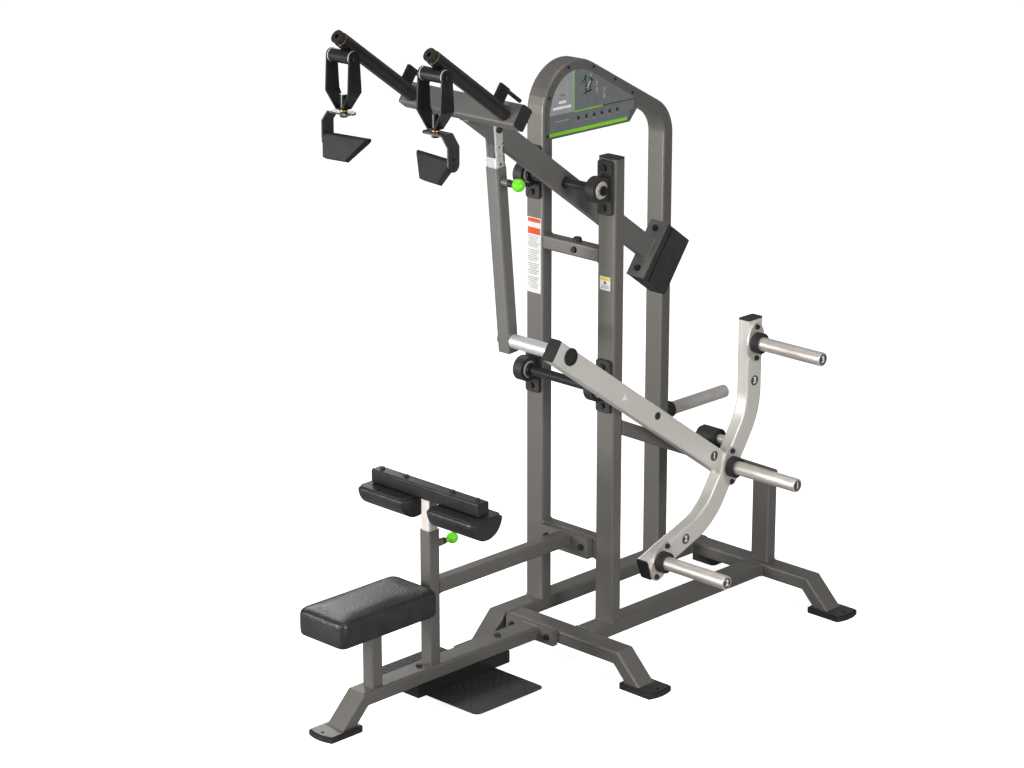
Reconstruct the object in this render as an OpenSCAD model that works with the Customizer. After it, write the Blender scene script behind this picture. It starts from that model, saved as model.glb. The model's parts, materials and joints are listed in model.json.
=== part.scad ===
// Lat pulldown machine: a plate-loaded lever machine with a seat and thigh rest.
// X runs across the machine, -Y towards the seat, +Z up. Lengths are in millimetres.
// The modules below are drawn with X = 0 on the seat's centre plane, Y = 0 on the uprights' front
// faces and Z = 0 on the floor. place() then moves the model so that the origin is the middle of
// its footprint.

/* [Tube stock] */
// Wide side of the frame tube
tube_w = 80; // [78:1:82]
// Narrow side of the frame tube
tube_d = 50; // [48:1:52]
// Wall thickness of every steel tube
wall = 3; // [2.5:0.5:3.5]
// Outer corner radius of every steel tube
corner_r = 7; // [5:1:9]

/* [Base frame] */
// Distance of each long rail's centre plane from the middle
rail_x = 170; // [168:1:172]
// Height of the top of the base rails
rail_top = 124; // [120:1:130]
// Centre of the front cross member, front to back
front_cross_y = -136; // [-138:1:-134]
// Centre of the rear cross member, front to back
rear_cross_y = 871; // [869:1:873]
// Outer bend of the front cross member's leg
front_bend_x = 401; // [390:1:412]
// Outer bend of the rear cross member's leg
rear_bend_x = 422; // [412:1:432]
// Outer bend of the left rail's front leg, measured forwards
left_front_bend = 190; // [186:1:196]
// Outer bend of the left rail's rear leg
left_rear_bend = 915; // [912:1:925]
// Outer bend of the seat rail's leg, measured forwards
seat_bend = 1034; // [1030:1:1040]

/* [Uprights] */
// Height of the right upright, without its cap
right_post_top = 1808; // [1805:1:1840]
// Bend radius of the arch's front corner, to the tube's centre line
arch_front_r = 145; // [140:1:150]
// Bend radius of the arch's rear corner, to the tube's centre line
arch_rear_r = 125; // [120:1:130]
// Centre line of the arch's rear leg, front to back
arch_rear_y = 655; // [650:1:660]
// Height of the lower crossbar's centre
lower_crossbar_z = 388; // [386:1:390]
// Height of the upper crossbar's centre
upper_crossbar_z = 1461; // [1440:1:1470]
// Drop of the sloping brace, degrees
brace_slope = 24.7; // [24.6:0.1:24.8]

/* [Pivots] */
// Height of the arm's shaft
arm_pivot_z = 1708; // [1706:1:1710]
// Height of the lever's shaft
lever_pivot_z = 1002; // [1000:1:1004]
// Distance of both shafts in front of the uprights
pivot_y = -45; // [-45:1:-45]
// Rise of the arm towards the handles, degrees
arm_tilt = 35.8; // [35.8:0.1:35.8]
// Rise of the lever towards its front end, degrees
lever_tilt = 35; // [35:0.1:35]
// Diameter of both shafts
shaft_d = 35; // [35:1:35]

/* [Arm] */
// Length of the arm in front of its shaft
arm_front = 547; // [540:1:550]
// Length of the arm behind its shaft
arm_rear = 547; // [540:1:550]
// Width of the arm
arm_w = 40; // [40:1:40]
// Length of the crossbar that carries the handles
crossbar_len = 540; // [536:1:544]
// Distance of each handle from the middle
handle_x = 214; // [212:1:216]
// Length of each turning handle tube
handle_len = 394; // [390:1:396]
// Depth of the counterweight along the arm
counterweight_len = 140; // [120:1:142]

/* [Link] */
// Distance from the arm's shaft to the link's hinge, along the arm
link_on_arm = 405.5; // [405.5:0.1:405.5]
// Length of the link between its two pivots
link_len = 748.5; // [748:0.5:749]
// Lean of the link, degrees
link_tilt = 5.17; // [5.17:0.01:5.17]

/* [Lever and horns] */
// Middle of the lever, across the machine
lever_x = 270; // [269:1:271]
// Length of each weight horn
horn_len = 303; // [296:1:306]
// Diameter of each weight horn
horn_d = 50; // [49:0.5:50]

/* [Seat and thigh rest] */
// Width of the seat pad
seat_w = 228; // [220:1:230]
// Length of the seat pad
seat_len = 446; // [440:1:450]
// Height of the seat pad's top at its edge
seat_top = 432; // [430:1:440]
// Height of the bottom of the pad bar
pad_bar_z = 720; // [715:1:725]
// Length of the pad bar
pad_bar_len = 516; // [510:1:520]

/* [Hidden] */
$fn = 64;

// The middle of the footprint, which becomes the origin.
origin_x = 154.5;
origin_y = -59.5;

run_gap = 0.05;          // radial clearance of every running fit
slip_gap = 0.3;          // clearance between pieces that turn or slide past each other
corner_steps = 3;        // flats round each tube corner
big = 4000;              // half-space cutters

rail_z = rail_top - tube_d / 2;
foot_top = 21;           // top of the steel foot plates
foot_plate_t = 8;
rubber_t = foot_top - foot_plate_t;
foot_w = 115;
foot_start = 18;         // the foot's inner and outer ends, from the tube's outer bend
foot_end = 165;
foot_bow = 12;           // how far the foot's outer edge bows out
foot_rim = 5;
anchor_hole_d = 13;
leg_angle = 45;

flange_t = 12;
flange_half = 115;
flange_bolt_x = 85;
bolt_d = 12;
bolt_hole_d = 13;

seat_post_y = -958;
thigh_post_y = -686;
small_tube = 50;
thigh_post_top = 610;
thigh_hole_z = 550;
thigh_hole_pitch = 25;
thigh_brace_z = 400;
inner_post = 43;

bearing_x = 170;
bearing_r = 45;
bearing_w = 40;
insert_r = 31;
plate_half_h = 95;
plate_half_w = 32.5;
housing_bolt_z = 70;

handle_r = 25;
handle_drop = 8;         // the handle axes lie this far below the arm's centre line
handle_shaft_d = 30;
bushing_r = 20;
roll_stop_z = 67;        // height of the stop rod over the handle's axis
yoke_pivot_u = 359;      // place of the yoke's cross barrel along the handle
yoke_pivot_w = 42;       // and its depth below the handle's axis
barrel_half = 47;
yoke_x = 50.3;           // inner faces of the yoke's arms
yoke_t = 6;
yoke_pin_d = 16;
yoke_drop = 174;         // from the yoke's pin to its underside
swivel_d = 16;
bracket_t = 6;
bracket_w = 50;
bracket_gap = 8;         // from the yoke's underside to the bracket's top
bracket_x = 83;          // outer face of the bracket's leg, from the swivel
bracket_leg = 119;
grip_tilt = 28;
grip_yaw = 8;

sleeve_w = 55;
sleeve_d = 50;
inner_w = 48.4;
inner_d = 43.4;
sleeve_top = -130.5;     // heights along the link are measured down from its hinge
sleeve_below = 42;
link_hole_z = -180.7;
link_hole_pitch = 30;
link_pin_d = 16;
fork_depth = 95;

lever_front = 398;
crosstube_u = 327.6;
crosstube_w = 11.7;
crosstube_r = 25;
horn_root = lever_x + tube_d / 2;
horn_plate_t = 8;
horn_centres = [[657, 1045], [535, 606], [161, 342]];
horn_turns = [0, 0, -28];
curve_points = [[660, 1128], [660, 790], [429, 435], [108, 319]];
curve_radii = [250, 250];
bumper_centre = [582, 675];
bumper_r = 36.6;
bumper_x = 112;          // its free end

// ---------------------------------------------------------------- helpers

module place() translate([-origin_x, -origin_y, 0]) children();

function unit(v) = v / norm(v);
function left(v) = [-v[1], v[0]];
function corner_arc(cx, cy, r, start) =
    [for (i = [0:corner_steps])
        let (a = start + 90 * i / corner_steps) [cx + r * cos(a), cy + r * sin(a)]];
function round_rect(w, d, r) = concat(
    corner_arc(w / 2 - r, d / 2 - r, r, 0),
    corner_arc(r - w / 2, d / 2 - r, r, 90),
    corner_arc(r - w / 2, r - d / 2, r, 180),
    corner_arc(w / 2 - r, r - d / 2, r, 270));

// Offsets of an open line of points, mitred at its corners, and the flat bar bent along it.
function mitre(p, i, t) =
    i == 0 ? left(unit(p[1] - p[0])) * t
    : i == len(p) - 1 ? left(unit(p[i] - p[i - 1])) * t
    : let (n = left(unit(p[i] - p[i - 1])), m = unit(n + left(unit(p[i + 1] - p[i])))) m * t / (m * n);
function strip(p, t) = concat(p, [for (i = [len(p) - 1:-1:0]) p[i] + mitre(p, i, t)]);

module tube_section(w = tube_w, d = tube_d) difference() {
    polygon(round_rect(w, d, corner_r));
    polygon(round_rect(w - 2 * wall, d - 2 * wall, corner_r - wall));
}

// Straight tubes along each axis. The first size is along X, or along Y for tube_x.
module tube_x(x0, x1, y, z, w, d)
    translate([x0, y, z]) rotate([90, 0, 90]) linear_extrude(x1 - x0) tube_section(w, d);
module tube_y(y0, y1, x, z, w, d)
    translate([x, y1, z]) rotate([90, 0, 0]) linear_extrude(y1 - y0) tube_section(w, d);
module tube_z(z0, z1, x, y, w, d)
    translate([x, y, z0]) linear_extrude(z1 - z0) tube_section(w, d);

// Tubes that bend in the XZ plane: a straight piece, then runs with mitred or with round corners.
module straight(p, q, w, d, extra = 0) {
    run = q - p;
    translate([p[0], 0, p[1]]) rotate([0, 90 - atan2(run[1], run[0]), 0])
        translate([0, 0, -extra]) linear_extrude(norm(run) + 2 * extra) tube_section(d, w);
}

module beyond(p, angle)
    translate([p[0], 0, p[1]]) rotate([0, -angle, 0])
        translate([0, -big / 2, -big / 2]) cube(big);

module mitred_tube(p, w = tube_w, d = tube_d) {
    function heading(i) = let (v = p[i + 1] - p[i]) atan2(v[1], v[0]);
    last = len(p) - 2;
    for (i = [0:last]) difference() {
        straight(p[i], p[i + 1], w, d, extra = d);
        beyond(p[i + 1], i == last ? heading(i) : (heading(i) + heading(i + 1)) / 2);
        beyond(p[i], 180 + (i == 0 ? heading(i) : (heading(i) + heading(i - 1)) / 2));
    }
}

function turn_at(p, i) =
    let (a = p[i] - p[i - 1], b = p[i + 1] - p[i]) atan2(a[0] * b[1] - a[1] * b[0], a * b);
function tangent(p, r, i) =
    i == 0 || i == len(p) - 1 ? 0 : r[i - 1] * tan(abs(turn_at(p, i)) / 2);

// Stations along a line with rounded corners: each is a place and the heading there.
bend_steps = 12;
function corner_stations(p, r, i) =
    let (u = unit(p[i] - p[i - 1]), turn = turn_at(p, i), start = p[i] - u * tangent(p, r, i),
         hub = start + left(u) * sign(turn) * r[i - 1], a = atan2(u[1], u[0]))
    [for (j = [0:bend_steps])
        let (h = a + turn * j / bend_steps)
        [hub - left([cos(h), sin(h)]) * sign(turn) * r[i - 1], h]];
function stations(p, r) =
    let (first = p[1] - p[0], last = p[len(p) - 1] - p[len(p) - 2])
    concat([[p[0], atan2(first[1], first[0])]],
           [for (i = [1:len(p) - 2]) each corner_stations(p, r, i)],
           [[p[len(p) - 1], atan2(last[1], last[0])]]);
function ring(station, section) =
    let (n = left([cos(station[1]), sin(station[1])]))
    [for (q = section) [station[0][0] + n[0] * q[0], q[1], station[0][1] + n[1] * q[0]]];

// The walls of a hollow tube swept through those stations, as one closed surface.
module bent_tube(p, r, w = tube_w, d = tube_d) {
    s = stations(p, r);
    outer = round_rect(d, w, corner_r);
    inner = round_rect(d - 2 * wall, w - 2 * wall, corner_r - wall);
    n = len(outer);
    m = len(s);
    polyhedron(
        points = concat([for (k = s) each ring(k, outer)], [for (k = s) each ring(k, inner)]),
        faces = concat(
            [for (k = [0:m - 2], j = [0:n - 1]) let (a = k * n + j, b = k * n + (j + 1) % n)
                [a, b, b + n, a + n]],
            [for (k = [0:m - 2], j = [0:n - 1]) let (a = (m + k) * n + j, b = (m + k) * n + (j + 1) % n)
                [b, a, a + n, b + n]],
            [for (j = [0:n - 1]) let (c = (j + 1) % n) [c, j, m * n + j, m * n + c]],
            [for (j = [0:n - 1]) let (e = (m - 1) * n, c = (j + 1) % n)
                [e + j, e + c, (m + m - 1) * n + c, (m + m - 1) * n + j]]));
}

// Turns the XZ plane into the YZ plane, with the run along +Y.
module along_y(x) translate([x, 0, 0]) rotate([0, 0, 90]) children();

module bar_x(x0, x1, y, z, r) translate([x0, y, z]) rotate([0, 90, 0]) cylinder(h = x1 - x0, r = r);
module bar_y(y0, y1, x, z, r) translate([x, y0, z]) rotate([-90, 0, 0]) cylinder(h = y1 - y0, r = r);

// A bolt whose washer rests on Z = 0, with its shank below.
module bolt(d = bolt_d, shank = 0) {
    cylinder(h = 2, r = d);
    translate([0, 0, 2]) cylinder(h = 0.6 * d, r = 0.87 * d, $fn = 6);
    if (shank > 0) translate([0, 0, -shank]) cylinder(h = shank, r = d / 2);
}

module bolt_forward(x, y, z, d = bolt_d, shank = 0) translate([x, y, z]) rotate([90, 0, 0]) bolt(d, shank);

// ---------------------------------------------------------------- base frame

// Centre line of a leg that leaves a rail at 45 degrees, from the rail's outer bend.
mitre_back = tube_d / 2 * tan(leg_angle / 2);
function leg_points(bend) = [
    [bend - mitre_back, rail_z],
    [bend - mitre_back + rail_z, 0]
];

module above_feet() difference() {
    children();
    translate([-big / 2, -big / 2, foot_top - big]) cube(big);
}

module side_rails() color("dimgray") place() {
    tube_y(front_cross_y + tube_w / 2, rear_cross_y - tube_w / 2, rail_x, rail_z, tube_w, tube_d);
    front = leg_points(left_front_bend);
    above_feet() along_y(-rail_x) mitred_tube([
        [-front[1][0], 0], [-front[0][0], rail_z],
        leg_points(left_rear_bend)[0], leg_points(left_rear_bend)[1]
    ]);
}

module cross_members() color("dimgray") place() above_feet()
    for (m = [[front_cross_y, front_bend_x], [rear_cross_y, rear_bend_x]]) translate([0, m[0], 0])
        mitred_tube(concat([[tube_w / 2 - rail_x, rail_z]], leg_points(m[1])));

module centre_rail() color("dimgray") place() above_feet() rotate([0, 0, -90])
    mitred_tube(concat([[tube_w / 2 - front_cross_y + 2 * flange_t, rail_z]], leg_points(seat_bend)));

// Places its children at the outer bend of each leg, with +X pointing outwards.
module at_feet() {
    translate([front_bend_x, front_cross_y, 0]) children();
    translate([rear_bend_x, rear_cross_y, 0]) children();
    translate([-rail_x, left_rear_bend, 0]) rotate([0, 0, 90]) children();
    translate([-rail_x, -left_front_bend, 0]) rotate([0, 0, -90]) children();
    translate([0, -seat_bend, 0]) rotate([0, 0, -90]) children();
}

module foot_outline(inset) {
    half = foot_w / 2 - inset;
    start = foot_start + inset;
    end = foot_end - inset;
    cut = 10;
    r = (half * half + foot_bow * foot_bow) / (2 * foot_bow);
    spread = asin(half / r);
    polygon(concat(
        [[start + cut, half], [start, half - cut], [start, cut - half], [start + cut, -half]],
        [for (i = [0:12])
            let (a = spread * (i / 6 - 1)) [end + foot_bow - r + r * cos(a), r * sin(a)]]));
}

module anchor_hole() translate([foot_end + foot_bow - 23, 0, -1]) cylinder(h = 40, d = anchor_hole_d);

module foot_plates() color("dimgray") place() at_feet() difference() {
    translate([0, 0, rubber_t]) linear_extrude(foot_plate_t) foot_outline(foot_rim);
    anchor_hole();
}

module rubber_feet() color("black") place() at_feet() difference() {
    linear_extrude(rubber_t + 4) foot_outline(0);
    translate([0, 0, rubber_t]) linear_extrude(20) foot_outline(foot_rim);
    anchor_hole();
}

// Two plates bolted together, with the joint plane at Y = 0, and a hair's gap between them.
module flange_pair(z, height) for (y = [-flange_t, 0.1]) difference() {
    translate([-flange_half, y, z - height / 2]) cube([2 * flange_half, flange_t - 0.1, height]);
    for (x = [-flange_bolt_x, flange_bolt_x]) bar_y(y - 1, y + flange_t + 1, x, z, bolt_hole_d / 2);
}

rail_flange_y = front_cross_y - tube_w / 2 - flange_t;
module flange_plates() color("dimgray") place() {
    translate([0, rail_flange_y, 0]) flange_pair(rail_z - 2, 56);
    translate([0, -flange_t, 0]) flange_pair(lower_crossbar_z, 76);
}

module foot_rest_channel() color("black") place() translate([0, -340, 0]) rotate([90, 0, 0]) {
    linear_extrude(445)
        polygon(strip([[-40, 30], [-40, rail_top - tube_d], [40, rail_top - tube_d], [40, 30]], -4));
    translate([-40, 30, 441]) cube([80, rail_top - tube_d - 30, 4]);
}

module tread_plate() color("dimgray") place() {
    plate = [534, 330, 4];
    translate([12, -576, 26]) linear_extrude(plate[2]) polygon(round_rect(plate[0], plate[1], 22));
}

// ---------------------------------------------------------------- uprights

module right_post() color("dimgray") place()
    tube_z(rail_top, right_post_top, rail_x, tube_d / 2, tube_w, tube_d);

module frame_caps() color("black") place() {
    translate([rail_x, tube_d / 2, right_post_top]) {
        linear_extrude(5) polygon(round_rect(tube_w, tube_d, corner_r));
        translate([0, 0, -18]) linear_extrude(18)
            polygon(round_rect(tube_w - 2 * wall - 1, tube_d - 2 * wall - 1, corner_r - wall));
    }
    // Rubber stop on the upper crossbar.
    translate([12, tube_d / 2, upper_crossbar_z + small_tube / 2]) {
        cylinder(h = 10, r = 16);
        translate([0, 0, 10]) cylinder(h = 5, r1 = 16, r2 = 12);
    }
}

// Corners of the arch's centre line: up the left upright, over its top and down the rear leg.
arch_slope = 28.4;
arch_front_corner_z = 2156.8;
arch_rear_corner_z = arch_front_corner_z - (arch_rear_y - tube_d / 2) * tan(arch_slope);
arch_corners = [
    [tube_d / 2, rail_top], [tube_d / 2, arch_front_corner_z],
    [arch_rear_y, arch_rear_corner_z], [arch_rear_y, rail_top]
];

module arch_tube() color("dimgray") place() along_y(-rail_x)
    bent_tube(arch_corners, [arch_front_r, arch_rear_r]);

module post_crossbars() color("dimgray") place() {
    half = rail_x - tube_w / 2;
    tube_x(-half, half, tube_d / 2, lower_crossbar_z, tube_d, tube_w);
    tube_x(-half, half, tube_d / 2, upper_crossbar_z, small_tube, small_tube);
}

// Sloping brace from the right upright to the rear post, and that post under it.
brace_top_z = 873;
brace_end = rear_cross_y + tube_w / 2;
module on_brace() translate([rail_x, tube_d, brace_top_z]) rotate([-brace_slope, 0, 0]) children();

module rear_brace() color("dimgray") place() {
    intersection() {
        on_brace() tube_y(-100, 1100, 0, -tube_d / 2, tube_w, tube_d);
        translate([0, tube_d, 0]) cube([big, brace_end - tube_d, big]);
    }
    difference() {
        tube_z(rail_top, 600, rail_x, brace_end - tube_d / 2, tube_w, tube_d);
        on_brace() translate([-big / 2, -big / 2, -tube_d - 0.1]) cube(big);
    }
}

// Shaped panel on the arch's inner side. Its edge keeps inside the tube's outer edge.
placard_x = tube_w / 2 - rail_x;
placard_inset = 14;
placard_bottom = 1820;
module placard() color("gray") place() {
    r = arch_front_r + tube_d / 2 - placard_inset;
    centre = [
        tube_d / 2 + arch_front_r,
        arch_front_corner_z - arch_front_r * tan((90 + arch_slope) / 2)
    ];
    slope_drop = tan(arch_slope);
    top = centre + r * [sin(arch_slope), cos(arch_slope)];
    right = 478;
    outline = concat(
        [for (i = [0:16]) let (a = 180 - (90 + arch_slope) * i / 16) centre + r * [cos(a), sin(a)]],
        [[right, top[1] - (right - top[0]) * slope_drop], [right, placard_bottom + 40],
         [right - 36, placard_bottom], [placard_inset, placard_bottom]]);
    translate([placard_x, 0, 0]) rotate([90, 0, 90]) linear_extrude(2) polygon(outline);
}

// Places of the placard's screws, front to back and up.
placard_screws = [[20, 1834], [29, 1966], [124, 2061], [252, 2046], [363, 1986], [455, 1924]];

// ---------------------------------------------------------------- seat and thigh rest

seat_plate = [160, 340, 5];
seat_base = 341;
seat_y = -973;
module seat_post() color("dimgray") place() {
    tube_z(rail_top, seat_base - seat_plate[2], 0, seat_post_y, small_tube, small_tube);
    translate([-seat_plate[0] / 2, seat_y - seat_plate[1] / 2, seat_base - seat_plate[2]]) cube(seat_plate);
}

module seat_pad() color("black") place() translate([0, seat_y, 0]) hull() {
    side = 20;
    translate([0, 0, seat_base]) linear_extrude(seat_top - seat_base - 6)
        polygon(round_rect(seat_w, seat_len, side));
    translate([0, 0, seat_base]) linear_extrude(seat_top - seat_base + 4)
        polygon(round_rect(seat_w - 24, seat_len - 24, side));
    translate([0, 0, seat_base]) linear_extrude(seat_top - seat_base + 14)
        polygon(round_rect(seat_w - 90, seat_len - 110, side));
}

pop_pin_d = 10;
module thigh_post() color("dimgray") place() difference() {
    union() {
        tube_z(rail_top, thigh_post_top, 0, thigh_post_y, small_tube, small_tube);
        bar_y(thigh_post_y + small_tube / 2, thigh_post_y + small_tube / 2 + 30, 0, thigh_hole_z, 13);
    }
    bar_y(thigh_post_y + 10, thigh_post_y + 100, 0, thigh_hole_z, pop_pin_d / 2 + run_gap);
}

module thigh_brace() color("dimgray") place()
    tube_y(thigh_post_y + small_tube / 2, -2 * flange_t, 0, thigh_brace_z, small_tube, small_tube);

module thigh_inner_post() color("silver") place() difference() {
    tube_z(330, pad_bar_z, 0, thigh_post_y, inner_post, inner_post);
    for (i = [-4:5]) bar_y(thigh_post_y + 10, thigh_post_y + 40, 0,
                           thigh_hole_z + i * thigh_hole_pitch, pop_pin_d / 2 + 0.5);
}

module pad_bar() color("black") place() {
    z = pad_bar_z + small_tube / 2;
    inside = pad_bar_len / 2 - wall;
    tube_x(-inside, inside, thigh_post_y, z, small_tube, small_tube);
    for (side = [-1, 1]) translate([side * (inside + wall / 2), thigh_post_y, z]) rotate([0, 90, 0])
        linear_extrude(wall, center = true) polygon(round_rect(small_tube, small_tube, corner_r));
}

pad_in = 55;
pad_out = 282;
pad_r = 78;
pad_top = pad_bar_z - 1;
module thigh_pad(side) color("black") place()
    translate([side * (pad_in + pad_out) / 2, thigh_post_y, pad_top]) rotate([0, 90, 0])
        intersection() {
            cylinder(h = pad_out - pad_in, r = pad_r, center = true);
            translate([0, -pad_r, -pad_out]) cube([2 * pad_r, 2 * pad_r, 2 * pad_out]);
        }
module thigh_pad_l() thigh_pad(-1);
module thigh_pad_r() thigh_pad(1);

module pad_bolts() color("black") place() for (side = [-1, 1], x = [112, 230])
    translate([side * x, thigh_post_y, pad_bar_z + small_tube]) bolt(10);

// Spring pins: a plunger along +Z with a ball knob. The plunger's tip is at Z = 0.
module pop_pin(reach, ball_z, ball_r) {
    cylinder(h = ball_z, r = pop_pin_d / 2);
    translate([0, 0, reach]) cylinder(h = ball_z - reach, r = 9);
    translate([0, 0, ball_z]) sphere(r = ball_r);
}

module thigh_knob() color("limegreen") place()
    translate([0, thigh_post_y + inner_post / 2 + slip_gap, thigh_hole_z]) rotate([-90, 0, 0])
        pop_pin(34, 86, 20);

// ---------------------------------------------------------------- bearings and shafts

module at_bearings() for (side = [-1, 1], z = [lever_pivot_z, arm_pivot_z])
    translate([side * bearing_x, pivot_y, z]) children();

module bearing_housings() color("black") place() at_bearings() difference() {
    union() {
        translate([0, -pivot_y, 0]) rotate([90, 0, 0]) linear_extrude(flange_t)
            polygon(round_rect(2 * plate_half_w, 2 * plate_half_h, 10));
        bar_x(-bearing_w / 2, bearing_w / 2, 0, 0, bearing_r);
        translate([-bearing_w / 2, 0, -38]) cube([bearing_w, -pivot_y - 1, 76]);
    }
    bar_x(-bearing_w, bearing_w, 0, 0, insert_r + run_gap);
    for (z = [-housing_bolt_z, housing_bolt_z])
        bar_y(-pivot_y - 2 * flange_t, -pivot_y + 1, 0, z, bolt_hole_d / 2);
}

module bearing_inserts() color("silver") place() at_bearings() difference() {
    union() {
        bar_x(-17, 17, 0, 0, insert_r);
        bar_x(-24, 24, 0, 0, 24);
    }
    bar_x(-30, 30, 0, 0, shaft_d / 2 + run_gap);
}

module frame_bolts() color("black") place() {
    at_bearings() for (z = [-housing_bolt_z, housing_bolt_z])
        bolt_forward(0, -pivot_y - flange_t, z, shank = flange_t - 0.5);
    for (x = [-flange_bolt_x, flange_bolt_x]) {
        bolt_forward(x, rail_flange_y - flange_t, rail_z - 2, shank = 2 * flange_t - 0.5);
        bolt_forward(x, -2 * flange_t, lower_crossbar_z, shank = 2 * flange_t - 0.5);
    }
    for (y = [-742, -360]) translate([0, y, rail_top]) bolt();
    bolt_forward(20, 0, upper_crossbar_z);
    bolt_forward(-rail_x, arch_rear_y - tube_d / 2, 567, d = 8);
    for (p = placard_screws) translate([placard_x + 2, p[0], p[1]]) rotate([0, 90, 0]) cylinder(h = 2.5, r = 5);
    for (x = [-55, 55], y = [-1100, -870])
        translate([x, y, seat_base - seat_plate[2]]) rotate([180, 0, 0]) bolt(8);
}

module shaft(x0, x1, collar_x) {
    bar_x(x0, x1, 0, 0, shaft_d / 2);
    for (side = [-1, 1]) bar_x(side * collar_x - 6, side * collar_x + 6, 0, 0, 26);
}
module upper_shaft() color("black") place() translate([0, pivot_y, arm_pivot_z]) shaft(-196, 200, 139.5);
module lower_shaft() color("black") place() translate([0, pivot_y, lever_pivot_z])
    shaft(-196, lever_x + 18, 139.5);

// ---------------------------------------------------------------- arm

// The arm's own axes: -Y runs up the arm to the handles, from the shaft.
module on_arm() place() translate([0, pivot_y, arm_pivot_z]) rotate([-arm_tilt, 0, 0]) children();

weight_plate = [78, 10, 220];
weight_bolt_z = 80;
module main_arm() color("gray") on_arm() {
    difference() {
        tube_y(-arm_front, arm_rear, 0, 0, arm_w, tube_w);
        bar_x(-arm_w, arm_w, 0, 0, shaft_d / 2 + run_gap);
        bar_x(-arm_w, arm_w, -link_on_arm, 0, link_pin_d / 2 + run_gap);
    }
    difference() {
        translate([-weight_plate[0] / 2, arm_rear, -weight_plate[2] / 2]) cube(weight_plate);
        for (z = [-weight_bolt_z, weight_bolt_z]) bar_y(arm_rear - 5, arm_rear + 20, 0, z, bolt_hole_d / 2);
    }
}

module counterweight() color("black") on_arm() translate([0, arm_rear + weight_plate[1] + 0.1, 0]) difference() {
    rotate([-90, 0, 0]) linear_extrude(counterweight_len) polygon(round_rect(weight_plate[0], weight_plate[2], 5));
    translate([0, 24, 0]) rotate([-90, 0, 0]) linear_extrude(7) difference() {
        square([200, 400], center = true);
        polygon(round_rect(weight_plate[0] - 10, weight_plate[2] - 10, 3));
    }
}

module counterweight_bolts() color("black") on_arm() for (z = [-weight_bolt_z, weight_bolt_z])
    bolt_forward(0, arm_rear, z, shank = weight_plate[1] - 0.5);

crossbar_u = arm_front + tube_d / 2;
handle_start = arm_front + tube_d;
// The handle's own axes: -Y runs up the handle from the crossbar's face.
module on_handle(side) on_arm() translate([side * handle_x, -handle_start, -handle_drop]) children();

shaft_end = handle_len + 6;
module arm_crossbar() {
    color("dimgray") on_arm() tube_x(5 - crossbar_len / 2, crossbar_len / 2 - 5, -crossbar_u, 0, tube_d, tube_w);
    for (side = [-1, 1]) color("silver") on_handle(side) bar_y(-shaft_end, 0, 0, 0, handle_shaft_d / 2);
}

module arm_caps() color("black") {
    on_arm() for (side = [-1, 1]) translate([side * (crossbar_len / 2 - 2.5), -crossbar_u, 0])
        rotate([90, 0, 90]) linear_extrude(5, center = true) polygon(round_rect(tube_d, tube_w, corner_r));
    for (side = [-1, 1]) on_handle(side) difference() {
        bar_y(-shaft_end - 20, -shaft_end, 0, 0, 23);
        bar_y(-shaft_end - 21, -shaft_end - 10, 0, 0, 8);
    }
}

// Flanged bronze bushings at both ends of each handle tube.
module handle_bushings() color("goldenrod") for (side = [-1, 1]) on_handle(side) difference() {
    union() {
        bar_y(-30, -0.2, 0, 0, bushing_r);
        bar_y(-2.9, -0.2, 0, 0, 24);
        bar_y(-shaft_end + 0.2, -shaft_end + 30, 0, 0, bushing_r);
        bar_y(-shaft_end + 0.2, -shaft_end + 2.8, 0, 0, 24);
    }
    bar_y(-shaft_end - 1, 1, 0, 0, handle_shaft_d / 2 + 0.02);
}

// Turning sleeve with the yoke's cross barrel below it, and above it the stop plate and its rod.
module handle_tube(side) color("black") on_handle(side) difference() {
    union() {
        bar_y(-3.2 - handle_len + 0.4, -3.2, 0, 0, handle_r);
        bar_x(-barrel_half, barrel_half, -yoke_pivot_u, -yoke_pivot_w, 22.5);
        translate([-8, -yoke_pivot_u - 14, -yoke_pivot_w]) cube([16, 28, yoke_pivot_w]);
        translate([-6, -80, 0]) cube([12, 45, roll_stop_z + 9]);
        bar_y(-60, 35, 0, roll_stop_z, 7);
    }
    bar_y(-handle_len - 10, 0, 0, 0, bushing_r + run_gap);
    bar_x(-barrel_half - 1, barrel_half + 1, -yoke_pivot_u, -yoke_pivot_w, yoke_pin_d / 2 + run_gap);
}
module handle_tube_l() handle_tube(-1);
module handle_tube_r() handle_tube(1);

// The yoke hangs straight down from its pin, so its axes are the machine's own.
arm_up = [0, -cos(arm_tilt), sin(arm_tilt)];
arm_over = [0, sin(arm_tilt), cos(arm_tilt)];
yoke_pin = [0, pivot_y, arm_pivot_z] + arm_up * (handle_start + yoke_pivot_u)
    - arm_over * (handle_drop + yoke_pivot_w);
module on_yoke(side) place() translate(yoke_pin + [side * handle_x, 0, 0]) children();

module yoke(side) color("black") on_yoke(side) {
    outer = yoke_x + yoke_t;
    bend = -114;
    base = 17;
    difference() {
        intersection() {
            translate([0, 40, 0]) rotate([90, 0, 0]) linear_extrude(80)
                polygon(strip([[-outer, 30], [-outer, bend], [-base, -yoke_drop],
                               [base, -yoke_drop], [outer, bend], [outer, 30]], yoke_t));
            translate([-100, 0, 0]) rotate([90, 0, 90]) linear_extrude(200) polygon(concat(
                [for (a = [0:15:180]) 23 * [cos(a), sin(a)]],
                [[-29, bend + 6], [-29, bend - 4], [-19, -yoke_drop - 1], [19, -yoke_drop - 1],
                 [29, bend - 4], [29, bend + 6]]));
        }
        translate([0, 0, -yoke_drop - 1]) cylinder(h = 10, r = swivel_d / 2);
    }
    bar_x(-outer - 2, outer + 2, 0, 0, yoke_pin_d / 2);
    for (end = [-1, 1]) translate([end * (outer + 4.5), 0, 0]) rotate([0, 90, 0])
        cylinder(h = 9, r = 13, center = true, $fn = 6);
}
module yoke_l() yoke(-1);
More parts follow.
